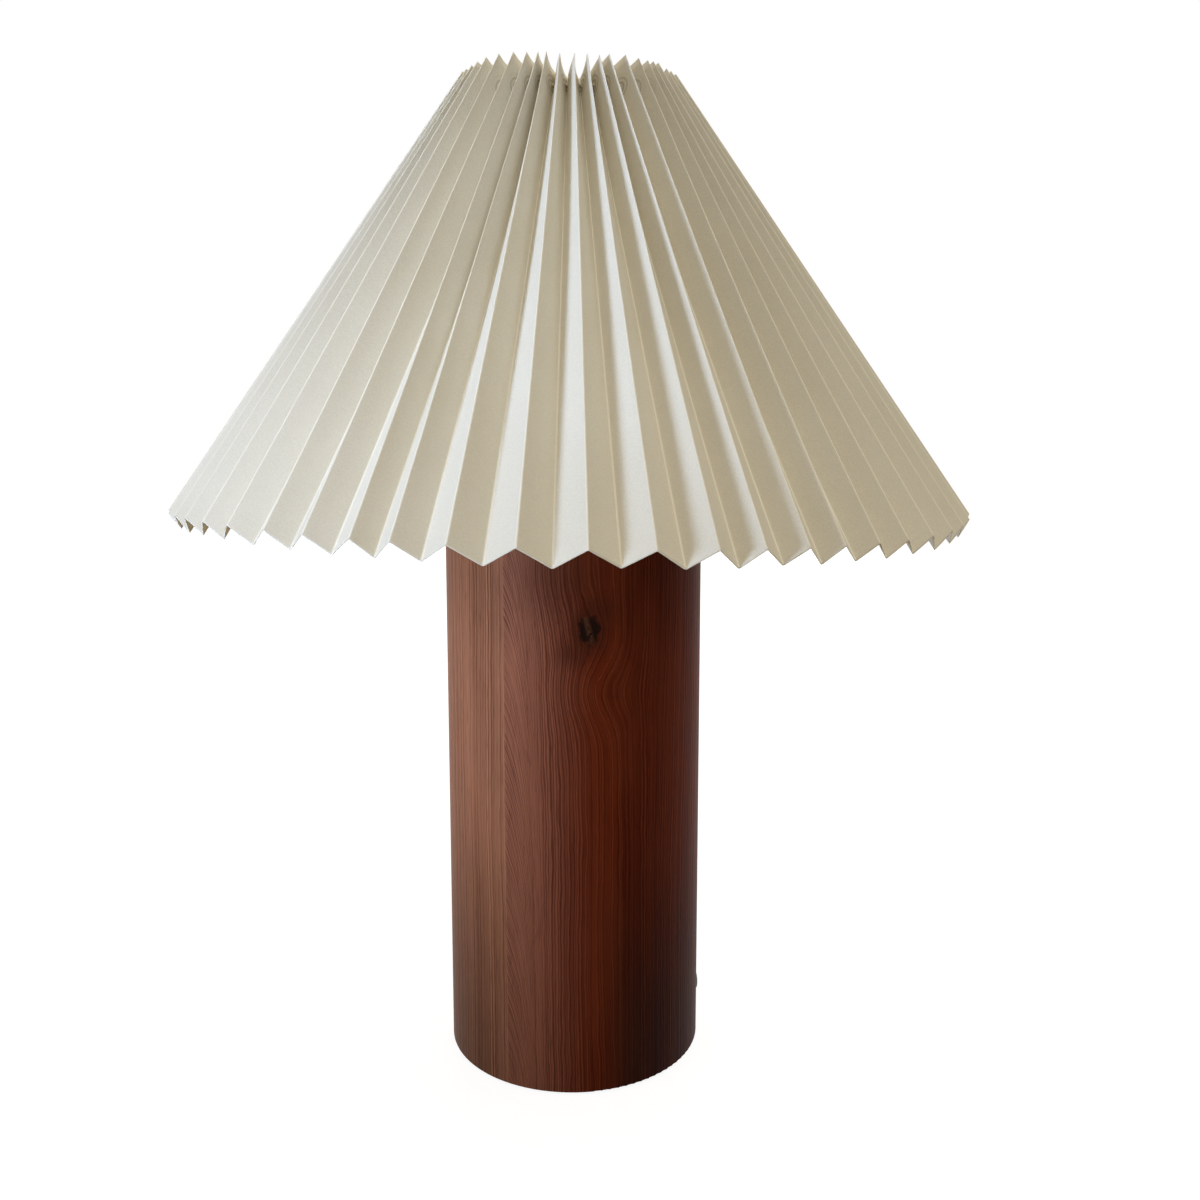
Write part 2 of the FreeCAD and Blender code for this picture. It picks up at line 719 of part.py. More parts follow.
def make_pleated_shade():
    """One strip of paper folded into ridges and valleys; every facet is a ruled face."""
    ridge_hem, ridge_top, ridge_out = fold_ends("ridge")
    valley_hem, valley_top, valley_out = fold_ends("valley")
    hem_depth = fold_depth(ridge_hem.x, ridge_hem, valley_hem)
    top_depth = fold_depth(ridge_top.x, ridge_top, valley_top)
    folds = []
    for index in range(2 * PLEATS):
        hem, top, out = ((ridge_hem, ridge_top, ridge_out), (valley_hem, valley_top, valley_out))[index % 2]
        turn = Rotation(Vector(0, 0, 1), 180.0 * index / PLEATS)
        corners = (hem, top, top - out * top_depth, hem - out * hem_depth)
        folds.append([turn.multVec(corner) for corner in corners])
    faces = []
    for index in range(2 * PLEATS):
        here, there = folds[index], folds[(index + 1) % (2 * PLEATS)]
        for side in range(4):
            first = Part.makeLine(here[side], here[(side + 1) % 4])
            second = Part.makeLine(there[side], there[(side + 1) % 4])
            faces.append(Part.makeRuledSurface(first, second))
    shell = Part.makeShell(faces)
    shell.sewShape()
    paper = Part.makeSolid(shell)
    if paper.Volume < 0:
        paper.reverse()
    centre = Vector(0, 0, size("gather_height"))
    holes = Part.makeTorus(size("gather_radius"), size("gather_hole"), centre)
    shaped("pleated_shade", paper.cut(holes))
    cord = doc.addObject("Part::Torus", "gathering_cord")
    bind(cord, Radius1="gather_radius", Radius2="gather_cord")
    cord.setExpression(".Placement.Base.z", linked("gather_height"))
    keep(cord, "gathering_cord")


# ---------------------------------------------------------------- bulb

BULB = HOLDER + " + bulb_foot"


def make_bulb_foot():
    """The contact and the black insulator under the bulb's cap."""
    top = BULB + " + bulb_contact_height"
    turned("bulb_contact", [
        ("0", BULB), ("bulb_contact_radius - 1.5", BULB), ("bulb_contact_radius", top), ("0", top)])
    end = top + " + bulb_insulator_height"
    turned("bulb_insulator", [
        ("0", top), ("bulb_contact_radius + 0.6", top), ("bulb_cap_radius - 1.6", end), ("0", end)])


def make_bulb_cap():
    """The thin metal cap with its rolled thread."""
    foot = BULB + " + bulb_contact_height + bulb_insulator_height + body_gap"
    pitch = "bulb_cap_height / %d" % CAP_WAVES
    outer = "bulb_cap_radius - bulb_cap_wave"
    wall = wavy_wall(foot, outer, "bulb_cap_wave", pitch, CAP_WAVES, "bulb_cap_wall")
    half = len(wall) // 2
    floor = foot + " + bulb_cap_wall"
    outside = wall[:half]
    inside = [corner for corner in wall[half:-1]]
    outside[0] = ("bulb_cap_radius - 1.6", foot)
    turned("bulb_cap", [("0", foot)] + outside + inside + [("bulb_cap_radius - 1.6 - bulb_cap_wall", floor),
                                                             ("0", floor)])


def glass_outline(shrink):
    """Neck, flare and round of the bulb in the XZ plane; shrink moves it inward."""
    neck = size("bulb_cap_radius") - shrink
    foot = value_of(BULB + " + bulb_contact_height + bulb_insulator_height + body_gap + bulb_cap_height")
    top = value_of(BULB + " + bulb_length") - shrink
    round_radius = size("bulb_radius") - shrink
    flare_radius = size("bulb_neck_curve") + shrink
    centre = Vector(0, 0, top - round_radius)
    across = size("bulb_cap_radius") + size("bulb_neck_curve")
    reach = round_radius + flare_radius
    flare = Vector(across, 0, centre.z - math.sqrt(reach ** 2 - across ** 2))
    join = centre + (flare - centre) * (round_radius / reach)
    neck_end = Vector(neck, 0, flare.z)
    blend_half = (neck_end - flare).normalize() + (join - flare).normalize()
    blend = flare + blend_half.normalize() * flare_radius
    side = centre + ((join - centre).normalize() + Vector(0, 0, 1)).normalize() * round_radius
    crown = Vector(0, 0, top)
    edges = [
        Part.makeLine(Vector(0, 0, foot), Vector(neck, 0, foot)),
        Part.makeLine(Vector(neck, 0, foot), neck_end),
        Part.Arc(neck_end, blend, join).toShape(),
        Part.Arc(join, side, crown).toShape(),
        Part.makeLine(crown, Vector(0, 0, foot))]
    face = Part.Face(Part.Wire(edges))
    return face.revolve(Vector(), Vector(0, 0, 1), 360)


def make_bulb():
    """The glass, the cap, the stem and the filaments, which all turn together."""
    shaped("bulb_glass", glass_outline(0).cut(glass_outline(size("bulb_glass"))))
    make_bulb_cap()
    foot = BULB + " + bulb_contact_height + bulb_insulator_height + body_gap + bulb_cap_height"
    low = foot + " - 6"
    turned("bulb_stem", [
        ("0", low), ("bulb_cap_radius - 2.5", low), ("bulb_cap_radius - 2.5", foot),
        ("stem_radius", foot + " + 8"), ("stem_radius * 0.6", foot + " + stem_length"),
        ("0", foot + " + stem_length")])
    height = value_of(foot) + size("stem_length") - 12
    sticks = []
    for index in range(FILAMENTS):
        lean = Rotation(Vector(0, 1, 0), size("filament_lean"))
        turn = Rotation(Vector(0, 0, 1), 360.0 * index / FILAMENTS)
        foot_point = turn.multVec(Vector(size("stem_radius") + 2.5, 0, height))
        stick = Part.makeCylinder(size("filament_radius"), size("filament_length"), foot_point,
                                  turn.multVec(lean.multVec(Vector(0, 0, 1))))
        sticks.append(stick)
    shaped("bulb_filaments", Part.makeCompound(sticks))


# ---------------------------------------------------------------- build, check and write

def check_and_write():
    """Stop on any failed object or bad shape, then write one file per sub-part."""
    doc.recompute()
    for item in doc.Objects:
        if "Invalid" in item.State or "Error" in item.State:
            raise ValueError(item.Label + " failed: " + str(item.State))
    for item in parts:
        if item.Shape.isNull() or not item.Shape.isValid() or not item.Shape.Solids:
            raise ValueError(item.Label + " has no sound shape")
    os.makedirs("parts", exist_ok=True)
    for item in parts:
        item.Shape.exportStep("parts/" + item.Label + ".step")
        box = item.Shape.BoundBox
        print("%-20s %2d solid %10.1f mm3  z %.1f to %.1f" % (
            item.Label, len(item.Shape.Solids), item.Shape.Volume, box.ZMin, box.ZMax))


fill_sheet()
make_base()
make_bushing()
make_pipe_parts()
make_terminal_block()
make_wires()
make_holder_cap()
make_holder_body()
make_insulator()
make_contacts()
make_switch()
make_shade_rings()
make_carrier()
make_pleated_shade()
make_bulb_foot()
make_bulb()
check_and_write()
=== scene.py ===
import math
import random

import bpy
from mathutils import Matrix, Vector


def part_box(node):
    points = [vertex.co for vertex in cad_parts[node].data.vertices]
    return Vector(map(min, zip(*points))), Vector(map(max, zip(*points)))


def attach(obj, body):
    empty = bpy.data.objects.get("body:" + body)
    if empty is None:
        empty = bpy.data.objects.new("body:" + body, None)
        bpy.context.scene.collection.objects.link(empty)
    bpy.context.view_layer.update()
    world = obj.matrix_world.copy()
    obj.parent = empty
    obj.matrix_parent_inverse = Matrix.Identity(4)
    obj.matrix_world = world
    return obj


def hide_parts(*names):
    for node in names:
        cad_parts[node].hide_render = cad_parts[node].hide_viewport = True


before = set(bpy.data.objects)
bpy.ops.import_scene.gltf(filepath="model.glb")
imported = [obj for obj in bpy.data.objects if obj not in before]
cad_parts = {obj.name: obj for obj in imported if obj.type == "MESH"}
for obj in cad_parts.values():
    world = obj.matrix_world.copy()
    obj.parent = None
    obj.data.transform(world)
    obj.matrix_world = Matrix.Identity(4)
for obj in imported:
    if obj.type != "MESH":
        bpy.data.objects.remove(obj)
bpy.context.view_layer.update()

scene = bpy.context.scene
scene.view_settings.view_transform = "Standard"
MM = 0.001

# ---------------------------------------------------------------- camera

IMAGE_SIZE = 1200.0
FOCAL_PIXELS = 1186.0
CENTRE_ROW = 554.7  # where the camera's axis meets the picture, in rows from the top
CAMERA_DISTANCE = 0.6172
CAMERA_HEIGHT = 0.3428
CAMERA_DOWN = math.radians(7.42)
CAMERA_RIGHT = math.radians(1.283)
SENSOR = 36.0
NEAREST_SEEN = 0.01


def make_camera():
    """The photograph's camera: in front of the lamp, a little above the hem, looking down."""
    data = bpy.data.cameras.new("photo_camera")
    data.sensor_width = SENSOR
    data.lens = FOCAL_PIXELS / IMAGE_SIZE * SENSOR
    data.shift_y = (CENTRE_ROW - IMAGE_SIZE / 2) / IMAGE_SIZE
    data.clip_start = NEAREST_SEEN
    camera = bpy.data.objects.new("photo_camera", data)
    scene.collection.objects.link(camera)
    ahead = Vector((math.sin(CAMERA_RIGHT) * math.cos(CAMERA_DOWN),
                    math.cos(CAMERA_RIGHT) * math.cos(CAMERA_DOWN), -math.sin(CAMERA_DOWN)))
    right = ahead.cross(Vector((0, 0, 1))).normalized()
    up = right.cross(ahead)
    turn = Matrix((right, up, -ahead)).transposed().to_4x4()
    camera.matrix_world = Matrix.Translation((0, -CAMERA_DISTANCE, CAMERA_HEIGHT)) @ turn
    scene.camera = camera


make_camera()

# ---------------------------------------------------------------- shader helpers


def sockets_of(sockets, kind):
    """The sockets of one type, such as RGBA, out of a node's inputs or outputs."""
    return [socket for socket in sockets if socket.type == kind]


class Graph:
    """A material's node tree, with short ways to add the nodes used here."""

    def __init__(self, name):
        self.material = bpy.data.materials.new(name)
        self.material.use_nodes = True
        self.tree = self.material.node_tree
        self.shader = self.tree.nodes["Principled BSDF"]
        self.output = self.tree.nodes["Material Output"]

    def node(self, kind, **settings):
        made = self.tree.nodes.new(kind)
        for key, value in settings.items():
            setattr(made, key, value)
        return made

    def join(self, source, target):
        """Link a socket, or set a plain value."""
        if isinstance(source, bpy.types.NodeSocket):
            self.tree.links.new(source, target)
        else:
            target.default_value = source

    def math(self, operation, first, second=0.0):
        made = self.node("ShaderNodeMath", operation=operation)
        self.join(first, made.inputs[0])
        self.join(second, made.inputs[1])
        return made.outputs[0]

    def square(self, value):
        return self.math("MULTIPLY", value, value)

    def exponential(self, value):
        return self.math("POWER", math.e, value)

    def centred(self, noise, width):
        """Noise between 0 and 1, moved to swing about zero over a width."""
        return self.math("MULTIPLY", self.math("SUBTRACT", noise, 0.5), width)

    def hill(self, across, up, centre, reach):
        """A smooth hill of height 1 over a plane, from its centre and how far it reaches."""
        away = [self.square(self.math("MULTIPLY", self.math("SUBTRACT", value, middle), 1 / far))
                for value, middle, far in zip((across, up), centre, reach)]
        return self.exponential(self.math("MULTIPLY", self.math("ADD", *away), -1.0))

    def vector(self, operation, first, second=(0.0, 0.0, 0.0)):
        made = self.node("ShaderNodeVectorMath", operation=operation)
        self.join(first, made.inputs[0])
        self.join(second, made.inputs[1])
        return made.outputs["Value" if operation in ("LENGTH", "DOT_PRODUCT") else "Vector"]

    def place(self):
        """Position on the object, which is the row frame in metres."""
        return self.node("ShaderNodeTexCoord").outputs["Object"]

    def stretched(self, vector, share):
        """The vector with its height scaled; noise is drawn out upwards by a share below 1."""
        return self.vector("MULTIPLY", vector, (1.0, 1.0, share))

    def parts(self, vector):
        made = self.node("ShaderNodeSeparateXYZ")
        self.join(vector, made.inputs[0])
        return made.outputs[0], made.outputs[1], made.outputs[2]

    def combine(self, x, y, z):
        made = self.node("ShaderNodeCombineXYZ")
        for value, socket in zip((x, y, z), made.inputs):
            self.join(value, socket)
        return made.outputs[0]

    def noise(self, vector, scale, detail=3.0, roughness=0.5, distortion=0.0):
        made = self.node("ShaderNodeTexNoise")
        self.join(vector, made.inputs["Vector"])
        made.inputs["Scale"].default_value = scale
        made.inputs["Detail"].default_value = detail
        made.inputs["Roughness"].default_value = roughness
        made.inputs["Distortion"].default_value = distortion
        return made.outputs["Fac"]

    def noise_along(self, value, scale, detail=2.0):
        """Noise along a single value, for lines of uneven strength."""
        made = self.node("ShaderNodeTexNoise", noise_dimensions="1D")
        self.join(value, made.inputs["W"])
        made.inputs["Scale"].default_value = scale
        made.inputs["Detail"].default_value = detail
        return made.outputs["Fac"]

    def ramp(self, factor, *stops):
        """An eased ramp between two colours; each stop is a place and a colour."""
        made = self.node("ShaderNodeValToRGB")
        self.join(factor, made.inputs["Fac"])
        made.color_ramp.interpolation = "EASE"
        for element, (place, colour) in zip(made.color_ramp.elements, stops):
            element.position = place
            element.color = (*colour, 1.0)
        return made.outputs["Color"]

    def fade(self, value, start, end, low=0.0, high=1.0):
        """Map a value smoothly from start..end to low..high."""
        made = self.node("ShaderNodeMapRange", interpolation_type="SMOOTHSTEP")
        for socket, number in zip(made.inputs, (value, start, end, low, high)):
            self.join(number, socket)
        return made.outputs[0]

    def mix(self, factor, first, second, blend="MIX"):
        made = self.node("ShaderNodeMix", data_type="RGBA", blend_type=blend)
        self.join(factor, made.inputs["Factor"])
        for value, socket in zip((first, second), sockets_of(made.inputs, "RGBA")):
            self.join((*value, 1.0) if isinstance(value, tuple) else value, socket)
        return sockets_of(made.outputs, "RGBA")[0]

    def blend_values(self, factor, first, second):
        """Between two plain values."""
        made = self.node("ShaderNodeMix", data_type="FLOAT")
        for value, socket in zip((factor, first, second), sockets_of(made.inputs, "VALUE")):
            self.join(value, socket)
        return made.outputs[0]

    def bump(self, height, distance, strength):
        """Raise the surface's normal by a height, and return the normal."""
        made = self.node("ShaderNodeBump")
        made.inputs["Strength"].default_value = strength
        made.inputs["Distance"].default_value = distance
        self.join(height, made.inputs["Height"])
        self.join(made.outputs["Normal"], self.shader.inputs["Normal"])
        return made.outputs["Normal"]

    def blend_shaders(self, factor, first, second):
        """Show a blend of two shaders on the surface."""
        made = self.node("ShaderNodeMixShader")
        for source, socket in zip((factor, first, second), made.inputs):
            self.join(source, socket)
        self.join(made.outputs[0], self.output.inputs["Surface"])

    def set(self, **values):
        for key, value in values.items():
            socket = self.shader.inputs[key.replace("_", " ")]
            self.join((*value, 1.0) if isinstance(value, tuple) else value, socket)


# ---------------------------------------------------------------- paper

GATHER_RADIUS = 53.5 * MM
GATHER_HEIGHT = 485.0 * MM
PRESSED_RING_PITCH = 2.1 * MM
PRESSED_RING_REACH = (2.0 * MM, 9.0 * MM)
PAPER_CREAM = (0.885, 0.855, 0.745)
PAPER_CLOUD = (0.86, 0.825, 0.71)
PAPER_GRAIN_SHADE = (0.93, 0.93, 0.93)
PAPER_PRESSED = (0.40, 0.32, 0.20)
# cream mixed in along the folds and the hem edge as a painted highlight
PAPER_PAINTED_HIGHLIGHT = (0.97, 0.945, 0.84)
PAPER_LIT_THROUGH = (0.98, 0.88, 0.66)
WHITE = (1.0, 1.0, 1.0)
PAPER_GRAIN_SCALE, PAPER_TOOTH_SCALE, PAPER_CLOUD_SCALE = 1500.0, 420.0, 14.0
PAPER_PRESSED_MOST = 0.55
PAPER_THROUGH_SHARE = 0.22
PAPER_RELIEF = 0.11 * MM


def pressed_rings(g, place):
    """How strongly the paper is marked by the rings pressed round each threaded hole."""
    x, y, z = g.parts(place)
    radius = g.math("SQRT", g.math("ADD", g.square(x), g.square(y)))
    across = g.math("SUBTRACT", radius, GATHER_RADIUS)
    up = g.math("SUBTRACT", z, GATHER_HEIGHT)
    away = g.math("SQRT", g.math("ADD", g.square(across), g.square(up)))
    rings = g.math("SINE", g.math("MULTIPLY", away, 2 * math.pi / PRESSED_RING_PITCH))
    rings = g.math("ADD", g.math("MULTIPLY", rings, 0.5), 0.5)
    return g.math("MULTIPLY", g.fade(away, *PRESSED_RING_REACH, 1.0, 0.0), rings)


def paper_material():
    """Cream lamp paper: fine grain, a little see-through, darkened where the cord is threaded."""
    g = Graph("shade_paper")
    place = g.place()
    grain = g.noise(place, PAPER_GRAIN_SCALE, 2.0, 0.6)
    cloud = g.noise(place, PAPER_CLOUD_SCALE, 3.0)
    base = g.mix(g.fade(cloud, 0.35, 0.65), PAPER_CREAM, PAPER_CLOUD)
    tone = g.mix(g.fade(grain, 0.3, 0.7), PAPER_GRAIN_SHADE, WHITE)
    colour = g.mix(1.0, base, tone, "MULTIPLY")
    marked = g.fade(pressed_rings(g, place), 0.0, 1.0, 0.0, PAPER_PRESSED_MOST)
    colour = g.mix(marked, colour, PAPER_PRESSED)
    # painted highlight along the folds and the hem edge
    painted_highlight = g.node("ShaderNodeAttribute", attribute_name="painted_highlight").outputs["Fac"]
    colour = g.mix(g.fade(painted_highlight, 0.2, 0.9), colour, PAPER_PAINTED_HIGHLIGHT)
    g.set(Base_Color=colour, Roughness=0.82, Specular_IOR_Level=0.25)
    tooth = g.math("MULTIPLY", g.noise(place, PAPER_TOOTH_SCALE, 2.0), 0.8)
    normal = g.bump(g.math("ADD", grain, tooth), PAPER_RELIEF, 0.7)
    through = g.node("ShaderNodeBsdfTranslucent")
    g.join(g.mix(1.0, colour, PAPER_LIT_THROUGH, "MULTIPLY"), through.inputs["Color"])
    g.join(normal, through.inputs["Normal"])
    g.blend_shaders(PAPER_THROUGH_SHARE, g.shader.outputs[0], through.outputs[0])
    return g.material


# ---------------------------------------------------------------- wood

WOOD_RADIUS = (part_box("wood_base")[1][0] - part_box("wood_base")[0][0]) / 2
KNOT_AZIMUTH = math.radians(6.2)
KNOT_HEIGHT = 0.2345
KNOT = Vector((math.sin(KNOT_AZIMUTH) * WOOD_RADIUS,
               -math.cos(KNOT_AZIMUTH) * WOOD_RADIUS, KNOT_HEIGHT))
BOARD_JOINT = -0.0337
JOINT_BLUR = 0.8 * MM
# sideways drift of the lines: how much the noise is stretched upwards, its scale and its width
SLOW_DRIFT = (0.22, 22.0, 0.016)
FINE_DRIFT = (0.35, 170.0, 0.0032)
# how much of that drift the upright lines of each board take
LEFT_DRIFT, RIGHT_DRIFT = 0.35, 0.55
# direction across the upright lines of each board
LEFT_GRAIN_ACROSS = (0.64, -0.77, 0.0)
RIGHT_GRAIN_ACROSS = (0.94, 0.34)
# lines that leave the joint at a slant: how soon they steepen, by how much, and where the
# upright lines take over
SLANT_REACH = 0.0085
SLANT_FALL = 0.019
SLANT_TO_UPRIGHT = (0.009, 0.021)
# the knot holds the lines this far off, measured with heights shortened, at the front only
KNOT_HOLD = 0.006
KNOT_HOLD_SHORT = 0.8
KNOT_FRONT = (-0.03, 0.0)
# lines pushed sideways near the knot: centre and reach (across, up) from the knot, and the push
LINE_PUSHES = [
    ((0.004, -0.030), (0.017, 0.016), 0.0095),
    ((-0.014, 0.030), (0.016, 0.024), 0.0085),
]
# scales of the noise along the lines, and how much pores and mottle are stretched upwards
LINE_SCALE, SLANT_SCALE = 1100.0, 460.0
LEFT_BAND_SCALE, RIGHT_BAND_SCALE = 90.0, 70.0
PORE_SCALE, PORE_STRETCH = 1900.0, 0.035
MOTTLE_SCALE, MOTTLE_STRETCH = 40.0, 0.25
# how strongly each layer shows: from and to which level of its noise, and the strength at either
LATE_LINES = (0.38, 0.50, 0.70, 0.0)
EARLY_LINES = (0.52, 0.64, 0.0, 0.80)
LATE_BANDS = (0.40, 0.66, 0.0, 0.32)
DARK_PORES = (0.54, 0.68, 0.0, 0.40)
PALE_MOTTLE = (0.42, 0.72, 0.0, 0.30)
# the right board's heart, redder to the right; then painted shade, darkest low down at the right
# front
HEART_ACROSS = (-0.040, 0.013)
PAINTED_SHADE_RIGHT_ACROSS = (0.005, 0.030)
PAINTED_SHADE_RIGHT_UP = (0.02, 0.16, 0.92, 0.0)
PAINTED_SHADE_RIGHT_BACK = (-0.02, 0.03, 1.0, 0.35)
# painted shade at the foot, up and across, and a painted shadow of the lampshade on the wood's
# top: what is left of the tone there
PAINTED_SHADE_FOOT_UP = (0.0, 0.17, 1.0, 0.0)
PAINTED_SHADE_FOOT_ACROSS = (-0.055, -0.025, 0.52, 0.10)
PAINTED_SHADOW_UNDER_SHADE = (0.215, 0.262, 1.0, 0.76)
# the knot: noise that frays it, its rim with heights shortened, its slanting split and flecks
FRAY_SCALE, FRAY_WIDTH = 170.0, 0.0070
KNOT_RIM, KNOT_SHORT = (0.0042, 0.0062, 1.0, 0.0), 0.82
EYE_SPLIT, EYE_SLANT = (0.0003, 0.0022), 0.25
EYE_FLECKS = (0.53, 0.60)
# shadowy wood round the knot, and in places near it: centre from the knot, and how it fades
KNOT_HALO = (0.004, 0.015, 0.75, 0.0)
KNOT_SHADOWS = [
    ((0.004, 0.0, 0.009), (0.002, 0.016, 0.60, 0.0)),
    ((-0.007, 0.0, -0.010), (0.002, 0.013, 0.55, 0.0)),
    ((-0.013, 0.0, 0.026), (0.004, 0.030, 0.38, 0.0)),
]
WOOD_LEFT = (0.440, 0.185, 0.100)
WOOD_RIGHT = (0.410, 0.160, 0.092)
WOOD_HEART = (0.150, 0.021, 0.0055)
WOOD_PAINTED_SHADE_RIGHT = (0.022, 0.001, 0.0005)
WOOD_LATE_SHARE = (0.36, 0.27, 0.24)
WOOD_EARLY_SHARE = (1.35, 1.35, 1.35)
WOOD_EARLY_GLOW = (0.45, 0.18, 0.07)
WOOD_PORE = (0.02, 0.006, 0.003)
WOOD_SHADOW = (0.050, 0.012, 0.005)
KNOT_PALE = (0.080, 0.028, 0.013)
KNOT_DARK = (0.012, 0.004, 0.002)
WOOD_RELIEF = 0.16 * MM


def grain_drift(g, place):
    """How far the lines wander sideways: a slow drift along the wood and a finer ripple."""
    drifts = [g.centred(g.noise(g.stretched(place, stretch), scale, 2.0), width)
              for stretch, scale, width in (SLOW_DRIFT, FINE_DRIFT)]
    return g.math("ADD", *drifts)


def left_grain(g, place, drift):
    """A value that is the same all along each upright line of the left board."""
    return g.math("ADD", g.vector("DOT_PRODUCT", place, LEFT_GRAIN_ACROSS),
                  g.math("MULTIPLY", drift, LEFT_DRIFT))


def slanted_grain(g, z, beyond, drift):
    """The same for the right board beside the joint: lines start on it and bend upright."""
    curve = g.math("SUBTRACT", g.exponential(g.math("MULTIPLY", beyond, 1 / SLANT_REACH)), 1.0)
    fallen = g.math("ADD", z, g.math("MULTIPLY", curve, SLANT_FALL))
    return g.math("ADD", g.math("MULTIPLY", fallen, -1.0), drift)


def parted_grain(g, x, y, z, drift):
    """The same further on: upright lines part round the knot and swing back below it."""
    aside = g.math("SUBTRACT", x, KNOT.x)
    high = g.math("SUBTRACT", z, KNOT.z)
    front = g.fade(y, *KNOT_FRONT, 1.0, 0.0)
    away = g.math("ADD", g.square(aside), g.square(g.math("MULTIPLY", high, KNOT_HOLD_SHORT)))
    hold = g.math("DIVIDE", KNOT_HOLD ** 2, g.math("ADD", away, KNOT_HOLD ** 2))
    parted = g.math("SUBTRACT", x, g.math("MULTIPLY", aside, g.math("MULTIPLY", hold, front)))
    for centre, reach, push in LINE_PUSHES:
        hill = g.math("MULTIPLY", g.hill(aside, high, centre, reach), front)
        parted = g.math("ADD", parted, g.math("MULTIPLY", hill, push))
    across = g.math("ADD", g.math("MULTIPLY", parted, RIGHT_GRAIN_ACROSS[0]),
                    g.math("MULTIPLY", y, RIGHT_GRAIN_ACROSS[1]))
    return g.math("ADD", across, g.math("MULTIPLY", drift, RIGHT_DRIFT))


def board_tone(g, x, y, z, left_board):
    """Each board's own tone: the right one reddens towards its heart. Painted shade darkens the
    right front low down, and both boards towards the foot, most at the left; a painted shadow of
    the lampshade darkens the top."""
    tone = g.mix(g.fade(x, *HEART_ACROSS), WOOD_RIGHT, WOOD_HEART)
    tone = g.mix(left_board, tone, WOOD_LEFT)
    # painted shade, darkest low down at the right front and weaker round the back
    painted_shade_right = g.math("MULTIPLY", g.fade(x, *PAINTED_SHADE_RIGHT_ACROSS), g.fade(z, *PAINTED_SHADE_RIGHT_UP))
    painted_shade_right = g.math("MULTIPLY", painted_shade_right, g.fade(y, *PAINTED_SHADE_RIGHT_BACK))
    tone = g.mix(painted_shade_right, tone, WOOD_PAINTED_SHADE_RIGHT)
    # painted shade towards the foot, and the painted shadow of the lampshade at the top
    foot = g.math("MULTIPLY", g.fade(z, *PAINTED_SHADE_FOOT_UP), g.fade(x, *PAINTED_SHADE_FOOT_ACROSS))
    ends = g.math("MULTIPLY", g.math("SUBTRACT", 1.0, foot), g.fade(z, *PAINTED_SHADOW_UNDER_SHADE))
    return g.mix(1.0, tone, g.combine(ends, ends, ends), "MULTIPLY")


def add_knot(g, place, colour):
    """Paint the knot, a dark broken eye with shadowy wood round it. Returns colour and relief."""
    gap = g.vector("SUBTRACT", place, KNOT)
    fray = g.noise(gap, FRAY_SCALE, 2.0, 0.6, 1.6)
    reach = g.math("ADD", g.vector("LENGTH", g.stretched(gap, KNOT_SHORT)),
                   g.centred(fray, FRAY_WIDTH))
    aside, _, high = g.parts(gap)
    sides = g.math("ABSOLUTE", g.math("ADD", aside, g.math("MULTIPLY", high, EYE_SLANT)))
    inside = g.fade(reach, *KNOT_RIM)
    eye = g.math("MAXIMUM", g.fade(sides, *EYE_SPLIT), g.fade(fray, *EYE_FLECKS))
    halo = g.fade(reach, *KNOT_HALO)
    for centre, fading in KNOT_SHADOWS:
        away = g.vector("LENGTH", g.vector("SUBTRACT", gap, centre))
        halo = g.math("MAXIMUM", halo, g.fade(away, *fading))
    colour = g.mix(halo, colour, WOOD_SHADOW)
    colour = g.mix(inside, colour, g.mix(eye, KNOT_PALE, KNOT_DARK))
    return colour, g.math("MULTIPLY", inside, g.math("MULTIPLY", eye, -0.8))


def wood_material():
    """Dark stained wood of two glued boards: straight grain left; right, lines that leave the
    joint at a slant and turn upright, and a knot that bends them."""
    g = Graph("stained_wood")
    place = g.place()
    x, y, z = g.parts(place)
    left_board = g.fade(x, BOARD_JOINT - JOINT_BLUR, BOARD_JOINT + JOINT_BLUR, 1.0, 0.0)
    beyond = g.math("SUBTRACT", x, BOARD_JOINT)
    drift = grain_drift(g, place)
    field_left = left_grain(g, place, drift)
    field_right = parted_grain(g, x, y, z, drift)
    lines_slant = g.noise_along(slanted_grain(g, z, beyond, drift), SLANT_SCALE, 2.0)
    lines_right = g.noise_along(field_right, LINE_SCALE, 1.5)
    lines_left = g.noise_along(field_left, LINE_SCALE, 1.5)
    lines = g.blend_values(g.fade(beyond, *SLANT_TO_UPRIGHT), lines_slant, lines_right)
    lines = g.blend_values(left_board, lines, lines_left)
    bands = g.blend_values(left_board, g.noise_along(field_right, RIGHT_BAND_SCALE, 1.0),
                           g.noise_along(field_left, LEFT_BAND_SCALE, 1.0))
    along = g.combine(field_right, field_left, g.math("MULTIPLY", z, PORE_STRETCH))
    pores = g.noise(along, PORE_SCALE, 2.0)
    mottle = g.noise(g.stretched(place, MOTTLE_STRETCH), MOTTLE_SCALE, 3.0)
    tone = board_tone(g, x, y, z, left_board)
    late = g.mix(1.0, tone, WOOD_LATE_SHARE, "MULTIPLY")
    early = g.mix(0.12, g.mix(1.0, tone, WOOD_EARLY_SHARE, "MULTIPLY"), WOOD_EARLY_GLOW)
    colour = g.mix(g.fade(lines, *LATE_LINES), tone, late)
    colour = g.mix(g.fade(lines, *EARLY_LINES), colour, early)
    colour = g.mix(g.fade(bands, *LATE_BANDS), colour, late)
    colour = g.mix(g.fade(pores, *DARK_PORES), colour, g.mix(0.5, late, WOOD_PORE))
    colour = g.mix(g.fade(mottle, *PALE_MOTTLE), colour, early)
    colour, knot_relief = add_knot(g, place, colour)
    g.set(Base_Color=colour, Roughness=0.50, Specular_IOR_Level=0.035)
    relief = g.math("ADD", lines, g.math("MULTIPLY", pores, -0.6))
    g.bump(g.math("ADD", relief, knot_relief), WOOD_RELIEF, 0.7)
    return g.material


# ---------------------------------------------------------------- other materials


